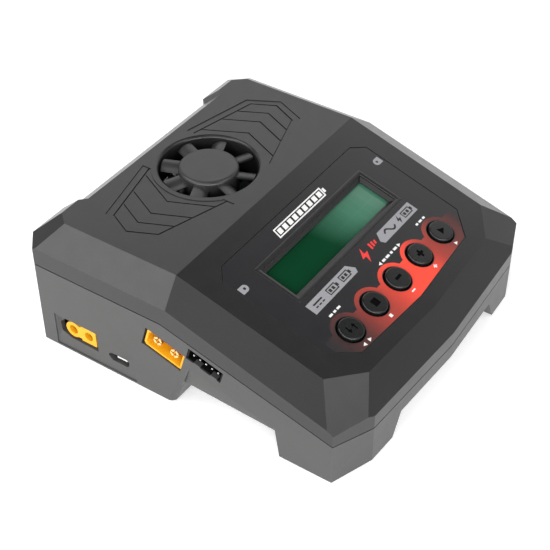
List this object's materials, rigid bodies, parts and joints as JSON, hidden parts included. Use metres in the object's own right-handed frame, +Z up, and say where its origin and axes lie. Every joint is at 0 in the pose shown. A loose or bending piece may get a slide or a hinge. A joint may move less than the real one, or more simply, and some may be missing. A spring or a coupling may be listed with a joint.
{
  "type": "balance battery charger",
  "caption": "Desk battery charger with a sloped panel, display and push keys over two stepped shells, a top fan, and battery, supply and balance sockets in its sides.",
  "frame": {"origin": "middle of the footprint, on the table plane", "axes": "+Z up, -Y towards the user and the sloped panel, +X to the user's right"},
  "size_m": [0.1283, 0.1352, 0.0496],
  "materials": {
    "shell": "fine textured satin",
    "panel_film": "satin print film",
    "key_plastic": "gloss",
    "display_glass": "clear green",
    "display_frame": "black satin",
    "board": "solder mask",
    "chip": "matt",
    "socket_yellow": "semi gloss",
    "socket_black": "satin",
    "contact_gold": "plated",
    "contact_tin": "tin plated",
    "steel": "zinc plated",
    "white_plastic": "satin",
    "ferrite": "sintered",
    "tape": "polyester tape",
    "capacitor_sleeve": "shrink sleeve",
    "copper_wire": "enamelled copper",
    "core_coat": "powder coat",
    "heatsink_metal": "extruded",
    "wire_red": "silicone",
    "wire_black": "silicone",
    "cable_grey": "ribbon",
    "pad_rubber": "matt",
    "fan_plastic": "satin"
  },
  "bodies": {
    "housing": {"top_shell": "shell", "bottom_shell": "shell", "overlay_panel": "panel_film", "lcd_glass": "display_glass", "lcd_frame": "display_frame", "lcd_board": "board", "lcd_header_pins": "contact_gold", "tact_switches": "chip", "main_board": "board", "board_chips": "chip", "buzzer": "chip", "balance_socket_left": "socket_black", "balance_socket_right": "socket_black", "balance_socket_pins": "contact_tin", "output_socket_left": "socket_yellow", "output_socket_right": "socket_yellow", "output_pins_left": "contact_gold", "output_pins_right": "contact_gold", "output_leads_red": "wire_red", "output_leads_black": "wire_black", "dc_socket": "socket_yellow", "dc_contacts": "contact_gold", "usb_shell": "steel", "usb_tongue": "white_plastic", "ac_inlet": "socket_black", "ac_inlet_pins": "contact_tin", "power_board": "board", "transformer_core": "ferrite", "transformer_winding": "tape", "bulk_capacitor": "capacitor_sleeve", "small_capacitors": "capacitor_sleeve", "line_choke": "copper_wire", "choke_coils": "copper_wire", "choke_cores": "core_coat", "heatsink": "heatsink_metal", "power_transistors": "chip", "link_cable": "cable_grey", "fan_frame": "fan_plastic", "fan_stator": "copper_wire", "fan_leads": "wire_red", "fan_screws": "steel", "board_screws": "steel", "housing_screws": "steel", "rubber_feet": "pad_rubber"},
    "select_key": {"key_select": "key_plastic", "plunger_select": "chip"},
    "stop_key": {"key_stop": "key_plastic", "plunger_stop": "chip"},
    "down_key": {"key_down": "key_plastic", "plunger_down": "chip"},
    "up_key": {"key_up": "key_plastic", "plunger_up": "chip"},
    "start_key": {"key_start": "key_plastic", "plunger_start": "chip"},
    "fan_wheel": {"fan_rotor": "fan_plastic"}
  },
  "joints": [
    {"name": "fan_spin", "type": "hinge", "parent": "housing", "child": "fan_wheel", "pos_m": [0, 0.0343, 0.045], "axis": [0, 0, 1], "continuous": true},
    {"name": "select_press", "type": "slide", "parent": "housing", "child": "select_key", "axis": [0, 0.2807, -0.9598], "range_m": [0, 0.0008], "stiffness_N_per_m": 300, "springref_m": -0.0006},
    {"name": "stop_press", "type": "slide", "parent": "housing", "child": "stop_key", "axis": [0, 0.2807, -0.9598], "range_m": [0, 0.0008], "stiffness_N_per_m": 300, "springref_m": -0.0006},
    {"name": "down_press", "type": "slide", "parent": "housing", "child": "down_key", "axis": [0, 0.2807, -0.9598], "range_m": [0, 0.0008], "stiffness_N_per_m": 300, "springref_m": -0.0006},
    {"name": "up_press", "type": "slide", "parent": "housing", "child": "up_key", "axis": [0, 0.2807, -0.9598], "range_m": [0, 0.0008], "stiffness_N_per_m": 300, "springref_m": -0.0006},
    {"name": "start_press", "type": "slide", "parent": "housing", "child": "start_key", "axis": [0, 0.2807, -0.9598], "range_m": [0, 0.0008], "stiffness_N_per_m": 300, "springref_m": -0.0006}
  ]
}
